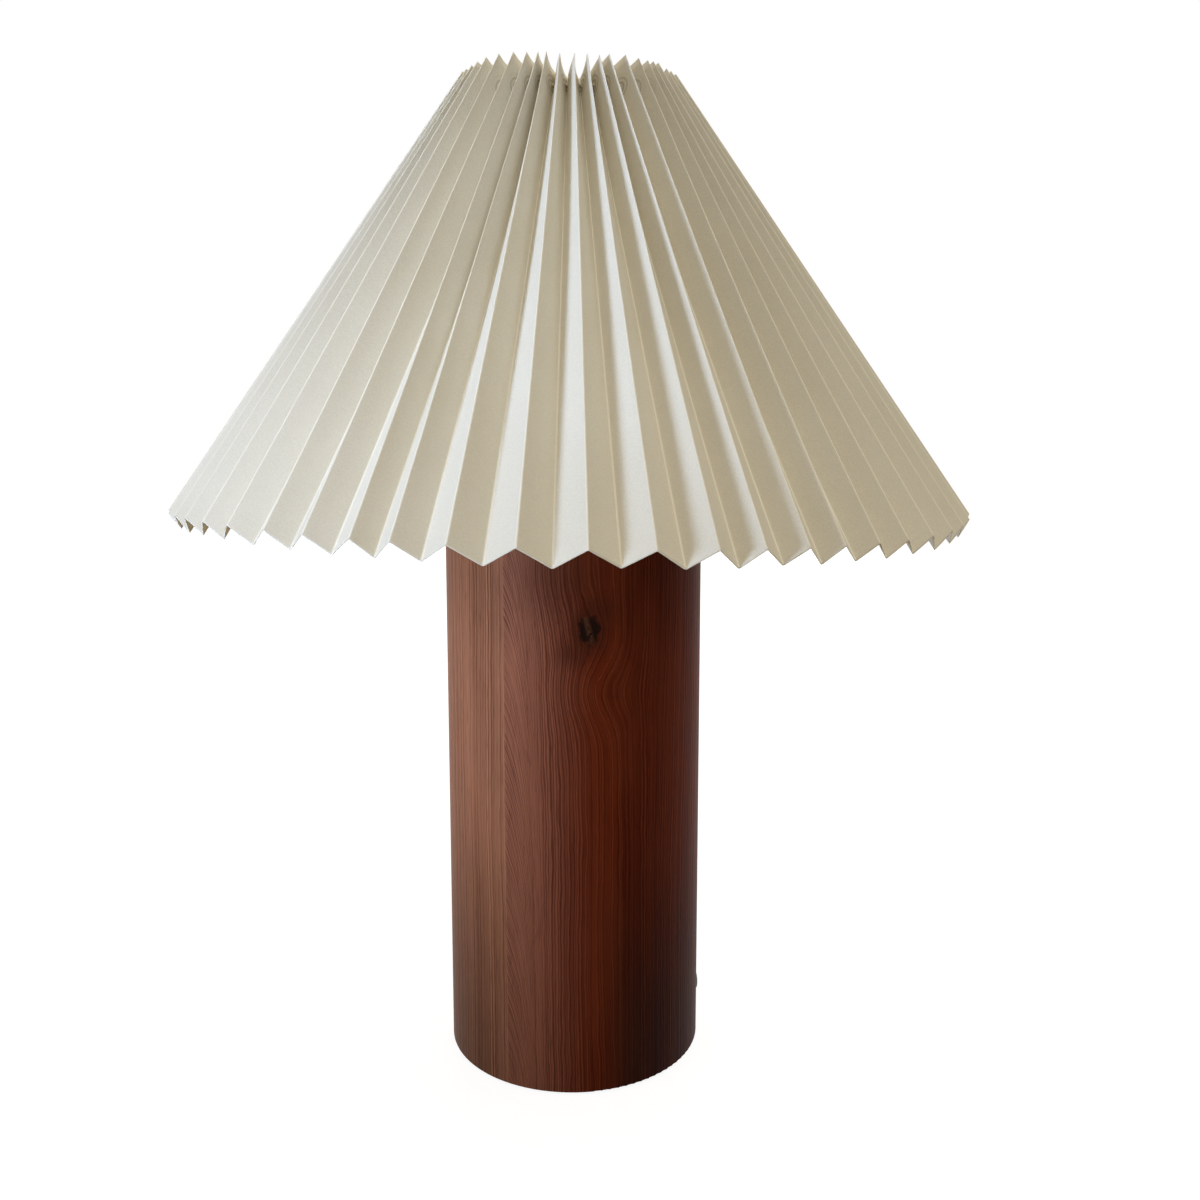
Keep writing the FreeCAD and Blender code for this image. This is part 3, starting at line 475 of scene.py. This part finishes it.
def scaled(colour, share):
    return tuple(share * part for part in colour)


def metal_material(name, colour, roughness):
    """Plain metal with fine wear in its gloss."""
    g = Graph(name)
    wear = g.noise(g.stretched(g.place(), 6.0), 900.0, 2.0)
    g.set(Base_Color=g.mix(g.fade(wear, 0.3, 0.7), colour, scaled(colour, 0.82)), Metallic=1.0,
          Roughness=g.fade(wear, 0.2, 0.8, roughness * 0.8, roughness * 1.25))
    g.bump(wear, 0.01 * MM, 0.3)
    return g.material


def plastic_material(name, colour, roughness):
    """Moulded plastic, paint or glaze with a fine eggshell grain."""
    g = Graph(name)
    fine = g.noise(g.place(), 2200.0, 2.0)
    g.set(Base_Color=g.mix(g.fade(fine, 0.3, 0.7), colour, scaled(colour, 0.9)),
          Roughness=g.fade(fine, 0.2, 0.8, roughness * 0.9, roughness * 1.1),
          Specular_IOR_Level=0.5)
    g.bump(fine, 0.02 * MM, 0.35)
    return g.material


def felt_material():
    """Pressed felt: short tangled fibres."""
    g = Graph("felt")
    fibre = g.noise(g.place(), 1400.0, 4.0, 0.7, 0.8)
    g.set(Base_Color=g.ramp(fibre, (0.3, (0.012, 0.012, 0.012)), (0.7, (0.05, 0.048, 0.045))),
          Roughness=0.95, Specular_IOR_Level=0.1, Sheen_Weight=0.4)
    g.bump(fibre, 0.3 * MM, 0.8)
    return g.material


def thread_material():
    """Cream twisted thread: slanting plies round the ring."""
    g = Graph("cord_thread")
    x, y, z = g.parts(g.place())
    around = g.math("MULTIPLY", g.math("ARCTAN2", y, x), 220.0)
    ply = g.math("SINE", g.math("ADD", around, g.math("MULTIPLY", z, 2600.0)))
    g.set(Base_Color=g.ramp(g.fade(ply, -1.0, 1.0),
                            (0.2, (0.42, 0.36, 0.25)), (0.8, (0.70, 0.64, 0.50))),
          Roughness=0.9, Specular_IOR_Level=0.2)
    g.bump(ply, 0.12 * MM, 0.8)
    return g.material


def glass_material():
    """Frosted bulb glass."""
    g = Graph("opal_glass")
    fine = g.noise(g.place(), 1800.0, 2.0)
    g.set(Base_Color=(0.93, 0.93, 0.91), Roughness=g.fade(fine, 0.2, 0.8, 0.30, 0.42),
          Transmission_Weight=0.45, IOR=1.45)
    return g.material


def filament_material():
    """Yellow phosphor sticks."""
    g = Graph("filament")
    dots = g.noise(g.place(), 900.0, 1.0)
    g.set(Base_Color=g.ramp(dots, (0.3, (0.80, 0.45, 0.08)), (0.7, (0.95, 0.66, 0.20))),
          Roughness=0.5)
    return g.material


# ---------------------------------------------------------------- pleated paper

PLEATS = 58
SHADE_HIGH = Vector(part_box("pleated_shade")[1])
# radius and height of the folds' ends
RIDGE_HEM = (SHADE_HIGH.x, 289.4 * MM)
RIDGE_TOP = (55.0 * MM, SHADE_HIGH.z)
VALLEY_HEM = (194.8 * MM, 282.1 * MM)
VALLEY_TOP = (46.6 * MM, 490.5 * MM)
FOLD_LENGTH = math.hypot(RIDGE_HEM[0] - RIDGE_TOP[0], RIDGE_TOP[1] - RIDGE_HEM[1])
PAPER_THICKNESS = 0.30 * MM
FOLD_ROUNDING = 0.65 * MM
# height of the bottom row, which carries the painted highlight along the hem edge
LIGHT_EDGE = 0.8 * MM
SHADE_SHIFT = Vector((-1.7 * MM, 0, 0))
# how far a raised tip moves inwards as it moves up along the fold
TIP_LEAN, VALLEY_LEAN = 0.68, 0.71
# the hem's trim: a rise everywhere in millimetres, a tilt across in millimetres per metre, and
# how far out, in metres, the tilt has died away
HEM_RISE, HEM_TILT, TILT_END = 0.7, 24.0, 0.2
# how much a facet bows out at the hem, along the fold and at the very top
BOW_HEM, BOW_ALONG, BOW_TOP = 0.3, 0.7, 1.3
# rows up the shade, closer together towards the top
ROWS = 30
ROW_CROWDING = 1.25
# points across one facet and its fold: on the rounded fold, then on the flat
FOLD_POINTS = (0.0, 0.25, 0.5, 0.75, 1.0)
FLAT_POINTS = (0.3, 0.42, 0.5, 0.58, 0.7)
FLAT_MARGIN = 1.8
POINTS_PER_FACET = len(FOLD_POINTS) + len(FLAT_POINTS) + 2
# points on the rounded fold that carry the painted highlight
CREASED_POINTS = (1, 2, 3)
# the most of a facet that its rounded fold may take
MOST_ROUNDED = 0.2

# The ridges across the front: azimuth at the hem and at the top in degrees, how much higher the
# tip stands than the usual one, and how much higher the valley after it ends, in millimetres.
FRONT_RIDGES = [
    (-44.5, -46.0, 2.0, 4.0), (-37.3, -37.0, 2.0, 4.0), (-31.0, -28.0, 1.5, 4.5),
    (-24.5, -20.5, 0.5, 4.5), (-19.5, -14.5, 0.0, 4.0), (-13.0, -10.5, 0.0, 2.0),
    (-5.5, -4.0, -1.0, -0.5), (2.0, 3.0, -1.0, -1.0), (9.2, 9.0, -1.0, 2.0),
    (16.0, 15.0, -1.5, 4.5), (21.5, 20.0, -0.5, 4.5), (27.0, 29.0, 0.5, 4.0),
    (32.0, 36.5, 0.0, 4.0), (37.5, 42.5, 0.0, 4.0), (43.0, 47.0, 0.5, 4.0),
]
# over how many ridges the lean of the front's last ones dies away
LEAN_FADE = 5
# how far the other folds stray: azimuths in degrees, tips and valleys in millimetres
HEM_STRAY, TOP_STRAY = 0.45, 1.2
TIP_RISES, SILL_RISES = (-0.8, 1.6), (1.0, 4.5)
VALLEY_STRAY = 0.4
# how far the facets bow and how deep their top edges are scooped, in millimetres: deeper the
# further the valley's end lies below the highest
BOWS = (0.10, 0.45)
SCOOP, SCOOP_PER_DEPTH, SCOOP_STRAY = 0.5, 0.4, (-0.2, 0.3)
RIDGE_SEED, VALLEY_SEED, FACET_SEED = 7, 3, 11


def ridge_folds():
    """Azimuth at hem and top, rise of the tip and rise of the next valley, for every ridge."""
    folds = list(FRONT_RIDGES)
    first, last = folds[0], folds[-1]
    left_over = PLEATS - len(folds) + 1
    step = (360.0 + first[0] - last[0]) / left_over
    vary = random.Random(RIDGE_SEED)
    for index in range(1, left_over):
        from_last = max(0.0, 1 - index / LEAN_FADE)
        from_first = max(0.0, 1 - (left_over - index) / LEAN_FADE)
        lean = (last[1] - last[0]) * from_last + (first[1] - first[0]) * from_first
        hem = last[0] + step * index + vary.uniform(-HEM_STRAY, HEM_STRAY)
        folds.append((hem, hem + lean + vary.uniform(-TOP_STRAY, TOP_STRAY),
                      vary.uniform(*TIP_RISES), vary.uniform(*SILL_RISES)))
    return folds


def on_cone(point, azimuth):
    """A point from its radius and height, at an azimuth in degrees from the front."""
    angle = math.radians(azimuth)
    return Vector((point[0] * math.sin(angle), -point[0] * math.cos(angle), point[1]))


def trimmed(hem, top):
    """Slide a fold's hem end along the fold: the hem is cut a little higher at the left."""
    rise = (HEM_RISE - HEM_TILT * hem.x * (1 - (hem.x / TILT_END) ** 6)) * MM
    return hem + (top - hem) * (rise / (top.z - hem.z))


def fold_lines():
    """Hem end and top end of every fold in turn, ridge then valley."""
    folds = ridge_folds()
    vary = random.Random(VALLEY_SEED)
    lines = []
    for index in range(PLEATS):
        hem_at, top_at, rise, sill = folds[index]
        next_hem, next_top = folds[(index + 1) % PLEATS][:2]
        turn = 360.0 if index == PLEATS - 1 else 0.0
        tip = (RIDGE_TOP[0] - TIP_LEAN * rise * MM, RIDGE_TOP[1] + rise * MM)
        hem, top = on_cone(RIDGE_HEM, hem_at), on_cone(tip, top_at)
        lines.append((trimmed(hem, top), top))
        low = (VALLEY_HEM[0], VALLEY_HEM[1] + vary.uniform(-VALLEY_STRAY, VALLEY_STRAY) * MM)
        high = (VALLEY_TOP[0] - VALLEY_LEAN * sill * MM, VALLEY_TOP[1] + sill * MM)
        hem = on_cone(low, (hem_at + next_hem + turn) / 2)
        top = on_cone(high, (top_at + next_top + turn) / 2)
        lines.append((trimmed(hem, top), top))
    return lines


def facet_point(first, second, t, across, bow, scoop):
    """A point of a facet, along its folds and across between them: the facet bows out, and its
    top edge is scooped."""
    arch = 4 * across * (1 - across)
    up = t * (1 - scoop * arch)
    start = first[0].lerp(first[1], up)
    end = second[0].lerp(second[1], up)
    side = end - start
    out = side.cross(Vector((0, 0, 1))).normalized()
    swell = BOW_HEM + BOW_ALONG * up + BOW_TOP * up ** 6
    return start + side * across + out * (bow * arch * swell)


def ring_points(lines, bows, scoops, t):
    """All the points round the shade at one level: each fold rounded, each facet between."""
    count = len(lines)
    ring = []
    for k in range(count):
        before, here, after = lines[k - 1], lines[k], lines[(k + 1) % count]
        corner = here[0].lerp(here[1], t)
        wide = (after[0].lerp(after[1], t) - corner).length
        back = (before[0].lerp(before[1], t) - corner).length
        edge = min(FOLD_ROUNDING / wide, MOST_ROUNDED)
        edge_back = min(FOLD_ROUNDING / back, MOST_ROUNDED)
        entering = facet_point(before, here, t, 1 - edge_back, bows[k - 1], scoops[k - 1])
        leaving = facet_point(here, after, t, edge, bows[k], scoops[k])
        for bend in FOLD_POINTS:
            ring.append(entering * (1 - bend) ** 2 + corner * (2 * bend * (1 - bend))
                        + leaving * bend ** 2)
        for across in (edge * FLAT_MARGIN, *FLAT_POINTS, 1 - edge * FLAT_MARGIN):
            ring.append(facet_point(here, after, t, across, bows[k], scoops[k]))
    return ring


def shade_rings():
    """The shade's outer side as rings of points, from the hem up."""
    lines = fold_lines()
    vary = random.Random(FACET_SEED)
    bows = [vary.uniform(*BOWS) * MM * (1 if k % 2 else -1) for k in range(len(lines))]
    scoops = []
    for *_, sill in ridge_folds():
        depth = max(0.0, SILL_RISES[1] - sill)
        for _ in range(2):
            scoop = SCOOP + SCOOP_PER_DEPTH * depth + vary.uniform(*SCOOP_STRAY)
            scoops.append(scoop * MM / FOLD_LENGTH)
    levels = [0.0, LIGHT_EDGE / FOLD_LENGTH]
    levels += [1 - (1 - row / ROWS) ** ROW_CROWDING for row in range(1, ROWS + 1)]
    return [ring_points(lines, bows, scoops, t) for t in levels]


def make_shade():
    """The paper as one closed skin: outer side, inner side and cut edges."""
    rings = shade_rings()
    around = len(rings[0])
    verts = [point + SHADE_SHIFT for ring in rings for point in ring]
    faces = []
    for row in range(len(rings) - 1):
        for k in range(around):
            after = (k + 1) % around
            faces.append((row * around + k, row * around + after,
                          (row + 1) * around + after, (row + 1) * around + k))
    mesh = bpy.data.meshes.new("shade_paper_sheet")
    mesh.from_pydata(verts, [], faces)
    mesh.update()
    # mark the folds and the hem row for the painted highlight
    painted_highlight = mesh.attributes.new("painted_highlight", "FLOAT", "POINT")
    for index in range(len(verts)):
        on_hem = index < around
        on_fold = index % POINTS_PER_FACET in CREASED_POINTS
        painted_highlight.data[index].value = 1.0 if on_hem or on_fold else 0.0
    for face in mesh.polygons:
        face.use_smooth = True
    shade = bpy.data.objects.new("shade_paper_sheet", mesh)
    scene.collection.objects.link(shade)
    thick = shade.modifiers.new("thickness", "SOLIDIFY")
    thick.thickness = PAPER_THICKNESS
    thick.offset = -1.0
    bpy.context.view_layer.objects.active = shade
    shade.select_set(True)
    bpy.ops.object.modifier_apply(modifier="thickness")
    shade.select_set(False)
    return shade


shade = make_shade()
shade.data.materials.append(paper_material())
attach(shade, "shade")
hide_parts("pleated_shade")

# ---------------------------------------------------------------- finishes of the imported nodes

BRASS = metal_material("satin_brass", (0.62, 0.43, 0.17), 0.32)
STEEL = metal_material("zinc_steel", (0.55, 0.55, 0.53), 0.38)
NICKEL = metal_material("cap_nickel", (0.66, 0.66, 0.63), 0.30)
SOLDER = metal_material("solder", (0.52, 0.52, 0.50), 0.5)
BLACK = plastic_material("black_plastic", (0.018, 0.018, 0.019), 0.42)
WHITE_PLASTIC = plastic_material("white_plastic", (0.72, 0.72, 0.68), 0.40)
PAINT = plastic_material("white_paint", (0.76, 0.75, 0.71), 0.38)
GREY = plastic_material("grey_plastic", (0.20, 0.19, 0.18), 0.45)
BROWN_WIRE = plastic_material("wire_brown", (0.12, 0.05, 0.02), 0.35)
BLUE_WIRE = plastic_material("wire_blue", (0.02, 0.08, 0.30), 0.35)
CERAMIC = plastic_material("white_ceramic", (0.78, 0.76, 0.72), 0.15)
BLACK_GLASS = plastic_material("black_glass", (0.01, 0.01, 0.01), 0.12)
STEM = plastic_material("stem_glass", (0.80, 0.82, 0.80), 0.15)

FINISHES = {
    "wood_base": wood_material(),
    "felt_pad": felt_material(),
    "cord_bushing": GREY,
    "lamp_pipe": STEEL,
    "bottom_nut": STEEL,
    "bottom_washer": STEEL,
    "lock_nut": BRASS,
    "cover_plate": BRASS,
    "terminal_block": WHITE_PLASTIC,
    "block_clamp_screws": STEEL,
    "block_fixing_screw": STEEL,
    "wire_live": BROWN_WIRE,
    "wire_neutral": BLUE_WIRE,
    "holder_cap": BLACK,
    "holder_body": BLACK,
    "holder_insulator": CERAMIC,
    "terminal_screws": BRASS,
    "screw_shell": BRASS,
    "centre_contact": BRASS,
    "switch_block": WHITE_PLASTIC,
    "switch_spindle": BRASS,
    "switch_knob": BLACK,
    "shade_ring_lower": BLACK,
    "shade_ring_upper": BLACK,
    "carrier_fitter": PAINT,
    "carrier_lower_ring": PAINT,
    "carrier_upper_ring": PAINT,
    "carrier_arms": PAINT,
    "gathering_cord": thread_material(),
    "bulb_contact": SOLDER,
    "bulb_insulator": BLACK_GLASS,
    "bulb_glass": glass_material(),
    "bulb_cap": NICKEL,
    "bulb_stem": STEM,
    "bulb_filaments": filament_material(),
}
for node, finish in FINISHES.items():
    for slot in bpy.data.objects[node].material_slots:
        slot.material = finish

# ---------------------------------------------------------------- floor and background

FLOOR_RADIUS = 6.0
FLOOR_CORNERS = 96
FLOOR_DROP = 0.2 * MM
FLOOR_TONES = ((0.30, 0.295, 0.28), (0.32, 0.315, 0.30))
FLOOR_GLOW = 0.90
FILL_LEVEL = 0.36
FILL_COLOUR = (1.0, 0.94, 0.85)
SEEN_BY = ("Is Camera Ray", "Is Glossy Ray", "Is Transmission Ray")


def background_shows(tree):
    """1 where a ray shows the background: seen directly, in a gloss or through glass."""
    path = tree.nodes.new("ShaderNodeLightPath")
    seen = path.outputs[SEEN_BY[0]]
    for other in SEEN_BY[1:]:
        either = tree.nodes.new("ShaderNodeMath")
        either.operation = "MAXIMUM"
        tree.links.new(seen, either.inputs[0])
        tree.links.new(path.outputs[other], either.inputs[1])
        seen = either.outputs[0]
    return seen


def make_floor():
    """A wide pale floor that shows white and keeps a soft shadow."""
    g = Graph("floor_paper")
    fine = g.noise(g.place(), 60.0, 2.0)
    g.set(Base_Color=g.mix(g.fade(fine, 0.3, 0.7), *FLOOR_TONES), Roughness=0.9,
          Specular_IOR_Level=0.1)
    glow = g.node("ShaderNodeEmission")
    glow.inputs["Color"].default_value = (*WHITE, 1.0)
    glow.inputs["Strength"].default_value = FLOOR_GLOW
    glowing = g.node("ShaderNodeAddShader")
    g.join(g.shader.outputs[0], glowing.inputs[0])
    g.join(glow.outputs[0], glowing.inputs[1])
    g.blend_shaders(background_shows(g.tree), g.shader.outputs[0], glowing.outputs[0])
    bpy.ops.mesh.primitive_circle_add(vertices=FLOOR_CORNERS, radius=FLOOR_RADIUS,
                                      fill_type="NGON")
    floor = bpy.context.object
    floor.name = "floor"
    floor.location.z = -FLOOR_DROP
    floor.data.materials.append(g.material)


def make_world():
    """White where it is seen, and a dim warm fill for the object."""
    world = bpy.data.worlds.new("studio")
    scene.world = world
    world.use_nodes = True
    tree = world.node_tree
    colour = tree.nodes.new("ShaderNodeMix")
    colour.data_type = "RGBA"
    fill, shown = sockets_of(colour.inputs, "RGBA")
    fill.default_value = (*scaled(FILL_COLOUR, FILL_LEVEL), 1.0)
    shown.default_value = (*WHITE, 1.0)
    tree.links.new(background_shows(tree), colour.inputs["Factor"])
    tree.links.new(sockets_of(colour.outputs, "RGBA")[0],
                   tree.nodes["Background"].inputs["Color"])


# ---------------------------------------------------------------- lights

WINDOW_AZIMUTH = math.radians(-53.0)
WINDOW_DISTANCE = 1.15
WINDOW_HEIGHT = 0.28
WINDOW_PLACE = (math.sin(WINDOW_AZIMUTH) * WINDOW_DISTANCE,
                -math.cos(WINDOW_AZIMUTH) * WINDOW_DISTANCE, WINDOW_HEIGHT)


def area_light(name, place, target, size, power, colour, spread=180.0):
    """A soft square light that faces a point; a small spread makes its light fall off sideways."""
    data = bpy.data.lights.new(name, "AREA")
    data.shape = "RECTANGLE"
    data.size = size
    data.size_y = size
    data.energy = power
    data.color = colour
    data.spread = math.radians(spread)
    light = bpy.data.objects.new(name, data)
    light.location = place
    facing = Vector(target) - Vector(place)
    light.rotation_euler = facing.to_track_quat("-Z", "Y").to_euler()
    scene.collection.objects.link(light)


def make_lights():
    """A low window from the left, a warm ceiling, and a soft light behind for the far side."""
    area_light("window", WINDOW_PLACE, target=(0.10, -0.03, 0.42), size=0.26, power=1.0,
               colour=(0.58, 0.72, 1.0), spread=50.0)
    area_light("ceiling", (0.3, -0.2, 2.2), target=(0, 0, 0.3), size=2.0, power=22.0,
               colour=(1.0, 0.93, 0.80))
    area_light("rear", (0.0, 2.0, 0.9), target=(0, 0, 0.35), size=1.6, power=14.0,
               colour=(1.0, 0.95, 0.86))


make_floor()
make_world()
make_lights()
